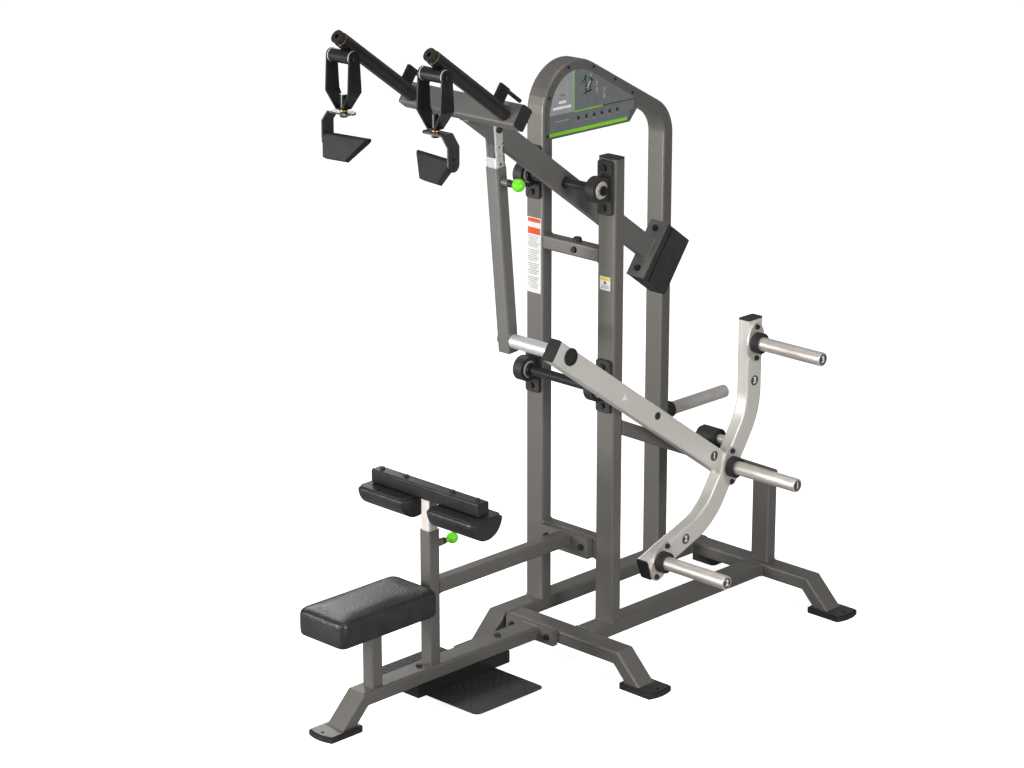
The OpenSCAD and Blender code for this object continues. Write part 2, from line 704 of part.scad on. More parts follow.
module yoke_r() yoke(1);

// Vertical swivel bolt: fixed in the yoke, with its nut under the bracket.
bracket_top = -yoke_drop - bracket_gap;
module swivel_bolt(side) color("black") on_yoke(side) {
    nut = bracket_top - bracket_t - slip_gap;
    translate([0, 0, nut - 10]) cylinder(h = yoke_t - yoke_drop - nut + 10, r = swivel_d / 2);
    translate([0, 0, yoke_t - yoke_drop]) cylinder(h = 44, r = 12);
    translate([0, 0, nut - 12]) cylinder(h = 12, r = 13, $fn = 6);
    translate([0, 0, bracket_top + slip_gap]) cylinder(h = bracket_gap - slip_gap, r = 11);
}
module swivel_bolt_l() swivel_bolt(-1);
module swivel_bolt_r() swivel_bolt(1);

// Bent flat bar below the yoke, with its leg on the outer side.
module on_bracket(side) on_yoke(side) translate([0, 0, bracket_top]) scale([side, 1, 1]) children();

module bracket(side) {
    inner = -48;
    half = bracket_w / 2;
    color("dimgray") on_bracket(side) difference() {
        intersection() {
            translate([0, half, 0]) rotate([90, 0, 0]) linear_extrude(bracket_w)
                polygon(strip([[inner, 0], [bracket_x - 29, 0], [bracket_x, -37],
                               [bracket_x, -bracket_leg]], -bracket_t));
            // Round inner end, seen from above.
            translate([0, 0, -200]) linear_extrude(300) polygon(concat(
                [for (a = [90:15:270]) [inner + half + half * cos(a), half * sin(a)]],
                [[100, -half], [100, half]]));
            // Round foot of the leg, seen from the side.
            translate([-100, 0, 0]) rotate([90, 0, 90]) linear_extrude(300) polygon(concat(
                [[half, 10], [-half, 10]],
                [for (a = [180:15:360]) [half * cos(a), half - bracket_leg + half * sin(a)]]));
        }
        translate([0, 0, -bracket_t - 1]) cylinder(h = 20, r = swivel_d / 2 + run_gap);
    }
}
module grip_bracket_l() bracket(-1);
module grip_bracket_r() bracket(1);

// Paddle grip: a tapered slab that leans forwards, cut flat against the bracket's leg.
module grip(side) color([0.25, 0.25, 0.25]) on_bracket(side) difference() {
    face = bracket_x - bracket_t;
    translate([face, 0, -79]) rotate([0, 0, -grip_yaw]) rotate([-grip_tilt, 0, 0]) intersection() {
        translate([-180, 0, 0]) rotate([90, 0, 90]) linear_extrude(200) polygon(concat(
            [for (a = [0:15:180]) [15 * cos(a), 15 * sin(a) - 15]], [[-11, -88], [11, -88]]));
        translate([0, 40, 0]) rotate([90, 0, 0]) linear_extrude(80)
            polygon([[20, 1], [-180, 1], [-110, -88], [-17, -88], [0, -40], [20, -40]]);
    }
    translate([face, -big / 2, -big / 2]) cube(big);
}
module grip_l() grip(-1);
module grip_r() grip(1);

// ---------------------------------------------------------------- link

// The link's own axes: its hinge is the origin, and -Z runs down the link.
module on_link() place() translate([0, pivot_y, arm_pivot_z] + arm_up * link_on_arm)
    rotate([link_tilt, 0, 0]) children();

module link_hinge_pin() color("dimgray") on_link() {
    half = inner_w / 2 + 1;
    bar_x(-half, half, 0, 0, link_pin_d / 2);
    for (side = [-1, 1]) bar_x(side * (half + 3) - 3, side * (half + 3) + 3, 0, 0, 12);
}

module link_inner_tube() color("silver") on_link() difference() {
    tube_z(-430, 20, 0, 0, inner_w, inner_d);
    translate([-(inner_w / 2 - wall), -50, -fork_depth]) cube([inner_w - 2 * wall, 100, 200]);
    bar_x(-50, 50, 0, 0, link_pin_d / 2 + run_gap);
    for (i = [-4:4]) bar_x(10, 50, 0, link_hole_z + i * link_hole_pitch, pop_pin_d / 2 + 0.5);
}

module link_sleeve() color("gray") on_link() {
    bottom = -link_len - sleeve_below;
    difference() {
        union() {
            tube_z(bottom, sleeve_top, 0, 0, sleeve_w, sleeve_d);
            bar_x(sleeve_w / 2, sleeve_w / 2 + 32, 0, link_hole_z, 13);
        }
        bar_x(10, 100, 0, link_hole_z, pop_pin_d / 2 + run_gap);
    }
    // Head of the lower pivot's pin, on the side away from the cross tube.
    bar_x(-sleeve_w / 2 - 6, -sleeve_w / 2, 0, -link_len, 20);
}

module link_knob() color("limegreen") on_link()
    translate([inner_w / 2 + slip_gap, 0, link_hole_z]) rotate([0, 90, 0]) pop_pin(36, 76, 22.5);

// ---------------------------------------------------------------- lever

// The lever's own axes: -Y runs up the lever to its front end, from the shaft.
module on_lever() place() translate([0, pivot_y, lever_pivot_z]) rotate([-lever_tilt, 0, 0]) children();

module curve() along_y(lever_x) bent_tube(curve_points, curve_radii, tube_d, tube_w);

module lever_tube() color("lightgray") difference() {
    on_lever() difference() {
        tube_y(-lever_front, 720, lever_x, 0, tube_d, tube_w);
        bar_x(lever_x - tube_d, lever_x, 0, 0, shaft_d / 2 + run_gap);
        bar_x(0, 2 * lever_x, -crosstube_u, crosstube_w, crosstube_r + run_gap);
    }
    // Cut square against the front face of the curved tube.
    middle = unit(curve_points[2] - curve_points[1]);
    place() translate([0, curve_points[2][0], curve_points[2][1]])
        rotate([atan2(-middle[1], -middle[0]), 0, 0])
            translate([-big / 2, -big / 2, tube_w / 2 - big]) cube(big);
}

module cross_tube() color("silver") on_lever() difference() {
    bar_x(sleeve_w / 2 + 1, horn_root, -crosstube_u, crosstube_w, crosstube_r);
    bar_x(sleeve_w / 2 + 7, horn_root + 1, -crosstube_u, crosstube_w, crosstube_r - 4);
}

module curved_tube() color("lightgray") place() {
    curve();
    bar_x(bumper_x + 90, lever_x - tube_d / 2, bumper_centre[0], bumper_centre[1], 18);
}

module end_cap() linear_extrude(5) polygon(round_rect(tube_d, tube_w, corner_r));
module lever_caps() color("black") {
    on_lever() {
        translate([lever_x, -lever_front, 0]) rotate([90, 0, 0]) end_cap();
        bar_x(horn_root, horn_root + 3, -crosstube_u, crosstube_w, 31);
        bar_x(horn_root, horn_root + 3, 213.7, 10.5, 13.5);
    }
    foot = curve_points[3] - curve_points[2];
    place() {
        translate([lever_x, curve_points[0][0], curve_points[0][1]]) end_cap();
        translate([lever_x, curve_points[3][0], curve_points[3][1]])
            rotate([-90 + atan2(foot[1], foot[0]) , 0, 0]) end_cap();
    }
}

module at_horns() for (i = [0:2])
    translate([horn_root, horn_centres[i][0], horn_centres[i][1]]) rotate([horn_turns[i], 0, 0]) children();

module weight_horns() color("silver") place() at_horns() difference() {
    union() {
        bar_x(0, horn_plate_t + collar_len + 1, 0, 0, horn_d / 2 - horn_neck);
        bar_x(horn_plate_t + collar_len + 1, horn_len + horn_plate_t - 2, 0, 0, horn_d / 2);
        translate([horn_len + horn_plate_t - 2, 0, 0]) rotate([0, 90, 0])
            cylinder(h = 2, r1 = horn_d / 2, r2 = horn_d / 2 - 2);
    }
    bar_x(-1, horn_len - 8, 0, 0, horn_d / 2 - 4);
}

collar_r = 38;
collar_len = 27;
horn_neck = 0.5;         // the horn is this much thinner inside its collar
horn_bolt = 58;
module horn_flanges() color("silver") place() at_horns() rotate([90, 0, 90]) difference() {
    linear_extrude(horn_plate_t) polygon([for (a = [0:10:350]) [45 * cos(a), 73 * sin(a)]]);
    translate([0, 0, -1]) cylinder(h = 20, r = horn_d / 2 - horn_neck + run_gap);
    for (y = [-horn_bolt, horn_bolt]) translate([0, y, -1]) cylinder(h = 20, r = 5.5);
}

module horn_bolts() color("black") place() at_horns() for (z = [-horn_bolt, horn_bolt])
    translate([horn_plate_t, 0, z]) rotate([0, 90, 0]) bolt(10, horn_plate_t - 0.5);

module horn_collars() color("black") place() at_horns() difference() {
    bar_x(horn_plate_t + 0.1, horn_plate_t + collar_len, 0, 0, collar_r);
    bar_x(0, 100, 0, 0, horn_d / 2 - horn_neck + run_gap);
}

module lever_bumper() color("black") place() translate([bumper_x, bumper_centre[0], bumper_centre[1]])
    rotate([0, 90, 0]) {
        cylinder(h = 12, r1 = bumper_r - 7, r2 = bumper_r);
        translate([0, 0, 12]) cylinder(h = 78, r = bumper_r);
    }

// ---------------------------------------------------------------- storage horn

storage_z = 670;
storage_y = arch_rear_y + tube_d / 2;
storage_collar_len = 52;
module storage_horn() color("silver") place() difference() {
    union() {
        bar_y(storage_y, storage_y + storage_collar_len + 1, -rail_x, storage_z, horn_d / 2 - horn_neck);
        bar_y(storage_y + storage_collar_len + 1, 1042, -rail_x, storage_z, horn_d / 2);
    }
    bar_y(storage_y - 1, 1036, -rail_x, storage_z, horn_d / 2 - 4);
}

module storage_collar() color("black") place() difference() {
    bar_y(storage_y, storage_y + storage_collar_len, -rail_x, storage_z, 31);
    bar_y(storage_y - 1, storage_y + storage_collar_len + 1, -rail_x, storage_z,
          horn_d / 2 - horn_neck + run_gap);
}

side_rails();
cross_members();
rear_brace();
right_post();
frame_caps();
arch_tube();
post_crossbars();
centre_rail();
flange_plates();
seat_post();
seat_pad();
thigh_post();
thigh_brace();
foot_plates();
rubber_feet();
foot_rest_channel();
tread_plate();
placard();
bearing_housings();
bearing_inserts();
frame_bolts();
storage_horn();
storage_collar();
upper_shaft();
main_arm();
arm_crossbar();
arm_caps();
counterweight();
counterweight_bolts();
handle_bushings();
handle_tube_l();
handle_tube_r();
yoke_l();
yoke_r();
swivel_bolt_l();
swivel_bolt_r();
grip_bracket_l();
grip_bracket_r();
grip_l();
grip_r();
link_hinge_pin();
link_inner_tube();
link_sleeve();
link_knob();
lever_tube();
cross_tube();
lower_shaft();
curved_tube();
lever_caps();
weight_horns();
horn_collars();
horn_flanges();
horn_bolts();
lever_bumper();
thigh_inner_post();
pad_bar();
thigh_pad_l();
thigh_pad_r();
pad_bolts();
thigh_knob();
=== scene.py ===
"""Looks of the lat pulldown machine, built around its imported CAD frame."""
import json
import math

import bmesh
import bpy
from mathutils import Euler, Matrix, Vector


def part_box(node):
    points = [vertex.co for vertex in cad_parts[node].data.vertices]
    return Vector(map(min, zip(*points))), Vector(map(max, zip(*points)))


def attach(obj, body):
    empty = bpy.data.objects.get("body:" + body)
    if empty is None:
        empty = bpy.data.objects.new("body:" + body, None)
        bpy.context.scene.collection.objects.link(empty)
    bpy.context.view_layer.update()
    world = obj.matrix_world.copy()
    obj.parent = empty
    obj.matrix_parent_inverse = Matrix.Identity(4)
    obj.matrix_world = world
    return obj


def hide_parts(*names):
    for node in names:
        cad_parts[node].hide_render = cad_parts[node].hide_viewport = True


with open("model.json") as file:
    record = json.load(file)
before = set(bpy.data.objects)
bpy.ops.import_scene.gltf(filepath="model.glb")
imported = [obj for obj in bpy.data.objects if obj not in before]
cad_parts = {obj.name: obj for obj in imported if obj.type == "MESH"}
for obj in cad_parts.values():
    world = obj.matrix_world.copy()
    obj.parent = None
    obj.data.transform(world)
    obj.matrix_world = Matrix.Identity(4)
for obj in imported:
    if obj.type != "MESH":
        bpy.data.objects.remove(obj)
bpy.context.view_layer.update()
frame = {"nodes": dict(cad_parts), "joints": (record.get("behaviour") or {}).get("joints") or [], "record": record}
MM = 0.001


# ---------------------------------------------------------------- places taken from the frame
def span(node):
    low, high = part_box(node)
    return Vector(low), Vector(high)


joints = {j["name"]: j for j in frame["joints"]}


def joint_at(name):
    return Vector(joints[name]["pos_m"])


arm_pivot = joint_at("arm_hinge")
lever_pivot = joint_at("lever_hinge")
MID_X = arm_pivot.x                      # the seat's centre plane
FRONT_Y = arm_pivot.y + 45 * MM          # the uprights' front faces


def at(x, y, z):
    """A place in the machine's own millimetres: from the centre plane, the uprights and the floor."""
    return Vector((MID_X + x * MM, FRONT_Y + y * MM, z * MM))


# ---------------------------------------------------------------- materials
class Shader:
    """A Principled material with small helpers for its procedural inputs."""

    def __init__(self, name, color, rough, metal=0.0, **plain):
        self.mat = bpy.data.materials.new(name)
        self.mat.use_nodes = True
        self.nodes = self.mat.node_tree.nodes
        self.links = self.mat.node_tree.links
        self.bsdf = self.nodes["Principled BSDF"]
        self.bsdf.inputs["Base Color"].default_value = (*color, 1)
        self.bsdf.inputs["Roughness"].default_value = rough
        self.bsdf.inputs["Metallic"].default_value = metal
        for key, value in plain.items():
            self.bsdf.inputs[key.replace("_", " ")].default_value = value
        self.color = color
        self.coords = self.nodes.new("ShaderNodeTexCoord").outputs["Object"]

    def noise(self, scale, detail=3.0, stretch=(1, 1, 1)):
        mapping = self.nodes.new("ShaderNodeMapping")
        mapping.inputs["Scale"].default_value = stretch
        self.links.new(self.coords, mapping.inputs["Vector"])
        node = self.nodes.new("ShaderNodeTexNoise")
        node.inputs["Scale"].default_value = scale
        node.inputs["Detail"].default_value = detail
        self.links.new(mapping.outputs["Vector"], node.inputs["Vector"])
        return node.outputs["Fac"]

    def cells(self, scale, feature="F1"):
        node = self.nodes.new("ShaderNodeTexVoronoi")
        node.feature = feature
        node.inputs["Scale"].default_value = scale
        self.links.new(self.coords, node.inputs["Vector"])
        return node.outputs["Distance"]

    def ramp(self, factor, stops):
        node = self.nodes.new("ShaderNodeValToRGB")
        ramp = node.color_ramp
        ramp.elements[0].position, ramp.elements[0].color = stops[0][0], (*stops[0][1], 1)
        ramp.elements[1].position, ramp.elements[1].color = stops[-1][0], (*stops[-1][1], 1)
        self.links.new(factor, node.inputs["Fac"])
        return node.outputs["Color"]

    def vary_color(self, factor, amount, low=0.35, high=0.65):
        dark = tuple(c * (1 - amount) for c in self.color)
        light = tuple(min(1, c * (1 + amount)) for c in self.color)
        out = self.ramp(factor, [(low, dark), (high, light)])
        self.links.new(out, self.bsdf.inputs["Base Color"])
        return self

    def vary_rough(self, factor, low, high):
        node = self.nodes.new("ShaderNodeMapRange")
        node.inputs["To Min"].default_value = low
        node.inputs["To Max"].default_value = high
        self.links.new(factor, node.inputs["Value"])
        self.links.new(node.outputs["Result"], self.bsdf.inputs["Roughness"])
        return self

    def bump(self, factor, strength, distance):
        node = self.nodes.new("ShaderNodeBump")
        node.inputs["Strength"].default_value = strength
        node.inputs["Distance"].default_value = distance
        self.links.new(factor, node.inputs["Height"])
        previous = self.bsdf.inputs["Normal"].links
        if previous:
            self.links.new(previous[0].from_socket, node.inputs["Normal"])
        self.links.new(node.outputs["Normal"], self.bsdf.inputs["Normal"])
        return self


def powder_coat(name, color, rough=0.42, metal=0.55):
    """Metallic powder coat: fine flake in the colour, and a slight orange peel."""
    s = Shader(name, color, rough, metal, Coat_Weight=0.15, Coat_Roughness=0.25)
    s.vary_color(s.noise(1400, 1), 0.10)
    s.vary_rough(s.noise(9, 4), rough - 0.05, rough + 0.07)
    return s.bump(s.noise(420, 2), 0.10, 0.0006).mat


def brushed(name, color, stretch, rough=0.3):
    s = Shader(name, color, rough, 0.85)
    s.vary_color(s.noise(60, 6, stretch), 0.05)
    s.vary_rough(s.noise(90, 6, stretch), rough - 0.08, rough + 0.10)
    return s.bump(s.noise(150, 5, stretch), 0.03, 0.0003).mat


def chrome(name):
    s = Shader(name, (0.93, 0.93, 0.92), 0.3, 0.7)
    return s.vary_rough(s.noise(12, 5), 0.26, 0.36).mat


def gloss_black(name, rough=0.28):
    s = Shader(name, (0.011, 0.011, 0.012), rough, 0.0, Coat_Weight=0.3, Coat_Roughness=0.15)
    s.vary_color(s.noise(30, 4), 0.25)
    s.vary_rough(s.noise(14, 5), rough - 0.06, rough + 0.1)
    return s.bump(s.noise(300, 2), 0.02, 0.0003).mat


def grained(name, color, rough, scale, depth):
    """Moulded plastic, rubber or textured coat: cells and noise at the grain's size."""
    s = Shader(name, color, rough)
    s.vary_color(s.noise(22, 5), 0.22)
    s.vary_rough(s.noise(16, 5), rough - 0.08, rough + 0.08)
    return s.bump(s.cells(scale), 0.35, depth).mat


def vinyl(name):
    """Black upholstery vinyl: pebbled grain over slow creasing, with a soft shine."""
    s = Shader(name, (0.016, 0.0155, 0.015), 0.36, 0.0, Coat_Weight=0.25, Coat_Roughness=0.3)
    s.vary_color(s.noise(18, 5), 0.3)
    s.vary_rough(s.cells(260), 0.3, 0.52)
    s.bump(s.noise(26, 4), 0.03, 0.001)
    return s.bump(s.cells(170, "SMOOTH_F1"), 0.9, 0.0018).mat


def plain(name, color, rough=0.45, metal=0.0):
    """Printed and painted colours, with the slight unevenness of a real surface."""
    s = Shader(name, color, rough, metal)
    s.vary_color(s.noise(35, 4), 0.06)
    return s.vary_rough(s.noise(20, 4), rough - 0.05, rough + 0.06).mat


MATERIALS = {
    "frame_paint": powder_coat("frame_paint", (0.180, 0.170, 0.153)),
    "arm_paint": powder_coat("arm_paint", (0.200, 0.192, 0.180)),
    "lever_paint": powder_coat("lever_paint", (0.78, 0.745, 0.69), 0.36, 0.45),
    "bright_steel": brushed("bright_steel", (0.86, 0.80, 0.75), (0.3, 0.3, 1), 0.46),
    "chrome": chrome("chrome"),
    "black_paint": gloss_black("black_paint"),
    "black_rubber": grained("black_rubber", (0.014, 0.014, 0.014), 0.6, 900, 0.0005),
    "black_plastic": grained("black_plastic", (0.017, 0.017, 0.017), 0.42, 1200, 0.0004),
    "cast_black": grained("cast_black", (0.024, 0.023, 0.022), 0.52, 420, 0.0009),
    "vinyl": vinyl("vinyl"),
    "lime_plastic": plain("lime_plastic", (0.16, 0.72, 0.012), 0.25),
    "bronze": brushed("bronze", (0.55, 0.34, 0.10), (1, 1, 1), 0.35),
    "panel_print": plain("panel_print", (0.15, 0.16, 0.16), 0.4),
    "fastener": gloss_black("fastener", 0.35),
    "dark_steel": powder_coat("dark_steel", (0.085, 0.080, 0.072), 0.36, 0.8),
    "grip_plastic": grained("grip_plastic", (0.014, 0.014, 0.014), 0.62, 1500, 0.0003),
    "tread_steel": powder_coat("tread_steel", (0.020, 0.019, 0.018), 0.45, 0.2),
    "disc_print": plain("disc_print", (0.055, 0.057, 0.06), 0.4),
    "dark_print": plain("dark_print", (0.045, 0.047, 0.05), 0.4),
    "white_print": plain("white_print", (0.80, 0.80, 0.78), 0.4),
    "grey_print": plain("grey_print", (0.30, 0.31, 0.315), 0.4),
    "green_print": plain("green_print", (0.22, 0.62, 0.03), 0.4),
    "orange_print": plain("orange_print", (0.72, 0.085, 0.008), 0.4),
    "yellow_print": plain("yellow_print", (0.85, 0.62, 0.03), 0.4),
    "red_print": plain("red_print", (0.55, 0.03, 0.03), 0.4),
    "pale_nylon": plain("pale_nylon", (0.72, 0.68, 0.60), 0.45),
}

slot_of = {s["node"]: s["material_slot"] for s in frame["record"]["subparts"]}
for node_name, node_object in frame["nodes"].items():
    node_object.data.materials.clear()
    node_object.data.materials.append(MATERIALS[slot_of[node_name]])


# ---------------------------------------------------------------- piece builders
def piece(name, mesh, body, slot, material=None, smooth=True):
    obj = bpy.data.objects.new(name, mesh)
    bpy.context.collection.objects.link(obj)
    mesh.materials.clear()
    mesh.materials.append(MATERIALS[material or slot])
    if smooth:
        mesh.shade_smooth()
        mesh.set_sharp_from_angle(angle=math.radians(40))
    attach(obj, body)
    return obj


def mesh_from(bm, name):
    bmesh.ops.recalc_face_normals(bm, faces=bm.faces)
    mesh = bpy.data.meshes.new(name)
    bm.to_mesh(mesh)
    bm.free()
    return mesh


def basis(normal, up=Vector((0, 0, 1))):
    """Rotation whose Z is the normal and whose Y leans to up."""
    z = normal.normalized()
    x = up.cross(z)
    x = x.normalized() if x.length > 1e-6 else Vector((1, 0, 0))
    return Matrix((x, z.cross(x), z)).transposed()


def add_prism(bm, outline, thickness, place, turn=Matrix.Identity(3), bevel=0.0):
    """An outline in a plane, thickened along its normal, with eased edges."""
    bottom = [bm.verts.new(place + turn @ Vector((x, y, 0))) for x, y in outline]
    top = [bm.verts.new(place + turn @ Vector((x, y, thickness))) for x, y in outline]
    count = len(outline)
    faces = [bm.faces.new(bottom[::-1]), bm.faces.new(top)]
    faces += [bm.faces.new((bottom[i], bottom[(i + 1) % count], top[(i + 1) % count], top[i]))
              for i in range(count)]
    if bevel:
        edges = [e for e in faces[1].edges]
        bmesh.ops.bevel(bm, geom=edges, offset=bevel, segments=2, affect="EDGES")


def rounded(width, height, radius, steps=5):
    points = []
    for cx, cy, start in ((1, 1, 0), (-1, 1, 90), (-1, -1, 180), (1, -1, 270)):
        for i in range(steps + 1):
            a = math.radians(start + 90 * i / steps)
            points.append((cx * (width / 2 - radius) + radius * math.cos(a),
                           cy * (height / 2 - radius) + radius * math.sin(a)))
    return points


def disc(radius, steps=40):
    return [(radius * math.cos(math.tau * i / steps), radius * math.sin(math.tau * i / steps))
            for i in range(steps)]


def plate(name, outline, thickness, place, normal, body, slot, material=None, bevel=0.0,
          up=Vector((0, 0, 1))):
    bm = bmesh.new()
    add_prism(bm, outline, thickness, place, basis(normal, up), bevel)
    return piece(name, mesh_from(bm, name), body, slot, material)


def sweep(bm, points, radius, sides=8, closed=False, ripple=0.0, ripple_step=0.004):
    """A round bead along points. A ripple makes it a weld bead."""
    count = len(points)
    rings = []
    travelled = 0.0
    for i, p in enumerate(points):
        before = points[i - 1] if (i or closed) else p
        after = points[(i + 1) % count] if (i < count - 1 or closed) else p
        direction = (after - before).normalized()
        travelled += (p - points[i - 1]).length if i else 0
        side = direction.cross(Vector((0.31, 0.52, 0.79))).normalized()
        other = direction.cross(side)
        r = radius * (1 + ripple * math.sin(math.tau * travelled / ripple_step))
        rings.append([bm.verts.new(p + r * (side * math.cos(math.tau * k / sides)
                                            + other * math.sin(math.tau * k / sides)))
                      for k in range(sides)])
    for i in range(count if closed else count - 1):
        a, b = rings[i], rings[(i + 1) % count]
        for k in range(sides):
            bm.faces.new((a[k], a[(k + 1) % sides], b[(k + 1) % sides], b[k]))
    if not closed:
        bm.faces.new(rings[0][::-1])
        bm.faces.new(rings[-1])


def resample(points, step, closed=True):
    ends = points + points[:1] if closed else points
    out = []
    for a, b in zip(ends, ends[1:]):
        n = max(1, round((b - a).length / step))
        out += [a.lerp(b, i / n) for i in range(n)]
    return out if closed else out + [points[-1]]


def lathe(bm, profile, place, axis, steps=40):
    """Turns (radius, height) points about an axis."""
    turn = basis(axis)
    rings = [[bm.verts.new(place + turn @ Vector((r * math.cos(a), r * math.sin(a), h)))
              for a in (math.tau * i / steps for i in range(steps))] for r, h in profile]
    for low, high in zip(rings, rings[1:] + rings[:1]):
        for i in range(steps):
            bm.faces.new((low[i], low[(i + 1) % steps], high[(i + 1) % steps], high[i]))


def ring_piece(name, inner, outer, length, place, axis, body, slot, ease=0.0008, material=None):
    bm = bmesh.new()
    lathe(bm, [(inner, 0), (outer - ease, 0), (outer, ease), (outer, length - ease),
               (outer - ease, length), (inner, length)], place, axis)
    return piece(name, mesh_from(bm, name), body, slot, material)


def digit(name, text, size, place, normal, body, material="white_print"):
    """A generic weight-position number, raised slightly from its disc."""
    curve = bpy.data.curves.new(name, "FONT")
    curve.body = text
    curve.size = size
    curve.extrude = 0.0002
    curve.offset = size * 0.035
    curve.align_x = "CENTER"
    curve.align_y = "CENTER"
    holder = bpy.data.objects.new(name + "_curve", curve)
    bpy.context.collection.objects.link(holder)
    bpy.context.view_layer.update()
    mesh = bpy.data.meshes.new_from_object(holder)
    bpy.data.objects.remove(holder)
    mesh.transform(Matrix.Translation(place) @ basis(normal).to_4x4())
    mesh.name = name
    return piece(name, mesh, body, "black_plastic", material, smooth=False)


# ---------------------------------------------------------------- upholstery
CLOTH_FRAMES = 20


def simulate_pad(obj, voxel, pressure, cap, pinned_z):
    """Swells a pad like foam in a vinyl cover. Points below pinned_z rest on the board."""
    remesh = obj.modifiers.new("remesh", "REMESH")
    remesh.mode = "VOXEL"
    remesh.voxel_size = voxel
    bpy.context.view_layer.objects.active = obj
    bpy.ops.object.modifier_apply(modifier=remesh.name)
    rest = [v.co.copy() for v in obj.data.vertices]
    group = obj.vertex_groups.new(name="board")
    group.add([v.index for v in obj.data.vertices if pinned_z(v.co)], 1.0, "REPLACE")
    cloth = obj.modifiers.new("cloth", "CLOTH")
    cloth.settings.use_pressure = True
    cloth.settings.uniform_pressure_force = pressure
    cloth.settings.tension_stiffness = 40
    cloth.settings.compression_stiffness = 40
    cloth.settings.bending_stiffness = 40
    cloth.settings.effector_weights.gravity = 0
    cloth.settings.vertex_group_mass = group.name
    cloth.point_cache.frame_end = CLOTH_FRAMES
    scene = bpy.context.scene
    for number in range(1, CLOTH_FRAMES + 1):
        scene.frame_set(number)
    graph = bpy.context.evaluated_depsgraph_get()
    swollen = [v.co.copy() for v in obj.evaluated_get(graph).data.vertices]
    obj.modifiers.remove(cloth)
    for v, start, end in zip(obj.data.vertices, rest, swollen):
        move = end - start
        v.co = start + (move.normalized() * min(move.length, cap) if move.length > 1e-9 else move)
    scene.frame_set(1)


def finish_pad(obj, levels=1):
    smooth = obj.modifiers.new("smooth", "SMOOTH")
    smooth.factor = 0.5
    smooth.iterations = 8
    bpy.context.view_layer.objects.active = obj
    bpy.ops.object.modifier_apply(modifier=smooth.name)
    if levels:
        sub = obj.modifiers.new("subdivision", "SUBSURF")
        sub.levels = sub.render_levels = levels
        bpy.ops.object.modifier_apply(modifier=sub.name)
    obj.data.shade_smooth()


def on_surface(obj, points, lift):
    """Moves points onto an object's skin, standing out by lift."""
    out = []
    for p in points:
        _, place, normal, _ = obj.closest_point_on_mesh(p)
        out.append(place + normal * lift)
    return out


def loft(bm, loops):
    """Closed skin through loops of points, capped by fans at both ends."""
    rings = [[bm.verts.new(p) for p in loop] for loop in loops]
    n = len(rings[0])
    for a, b in zip(rings, rings[1:]):
        for i in range(n):
            bm.faces.new((a[i], a[(i + 1) % n], b[(i + 1) % n], b[i]))
    for loop, points in ((rings[0][::-1], loops[0]), (rings[-1], loops[-1])):
        hub = bm.verts.new(sum(points, Vector()) / n)
        for i in range(n):
            bm.faces.new((loop[i], loop[(i + 1) % n], hub))


def crowned_seat():
    low, high = span("seat_pad")
    mid = (low + high) / 2
    width, length = high.x - low.x, high.y - low.y
    seam_z = high.z - 0.011
    # Each level: height, how far the outline is drawn in, and the corner radius.
    levels = [(low.z + 0.001, 0.008, 0.020), (low.z + 0.010, 0.003, 0.024),
              (low.z + 0.040, 0.0015, 0.026), (high.z - 0.027, 0.002, 0.026),
              (high.z - 0.017, 0.0035, 0.026), (high.z - 0.012, 0.007, 0.026),
              (seam_z, 0.012, 0.026), (high.z - 0.0085, 0.020, 0.028),
              (high.z - 0.005, 0.060, 0.040)]
    bm = bmesh.new()
    loft(bm, [[Vector((mid.x + x, mid.y + y, z))
               for x, y in rounded(width - 2 * inset, length - 2 * inset, radius, 6)]
              for z, inset, radius in levels])
    pad = piece("seat_cushion", mesh_from(bm, "seat_cushion"), "frame", "vinyl")
    simulate_pad(pad, 0.0055, 0.8, 0.0025, lambda co: co.z < low.z + 0.012)
    finish_pad(pad)
    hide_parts("seat_pad")
    # Welted seam round the top panel, with its stitching just inside. The welt is a real bead, and its darker,
    # rougher black rubber is painted shade for the seam's crease.
    line = [Vector((mid.x + x, mid.y + y, seam_z + 0.001))
            for x, y in rounded(width - 0.026, length - 0.026, 0.024, 8)]
    welt = bmesh.new()
    sweep(welt, on_surface(pad, resample(line, 0.006), 0.0002), 0.0016, 8, closed=True)
    # The welt is in darker, rougher black rubber than the vinyl: painted shade standing for the dark line of the
    # seam's crease.
    piece("seat_welt_and_seam_shade", mesh_from(welt, "seat_welt_and_seam_shade"), "frame", "vinyl", "black_rubber")
    stitches = bmesh.new()
    draw_x, draw_y = 0.955, 0.977         # how far the stitching is drawn in from the welt
    inner = [Vector((mid.x + (p.x - mid.x) * draw_x, mid.y + (p.y - mid.y) * draw_y, p.z))
             for p in line]
    points = on_surface(pad, resample(inner, 0.0028), 0.0002)
    for a, b in list(zip(points, points[1:]))[::2]:
        sweep(stitches, [a, b], 0.0006, 5)
    piece("seat_stitching", mesh_from(stitches, "seat_stitching"), "frame", "vinyl", "grip_plastic")


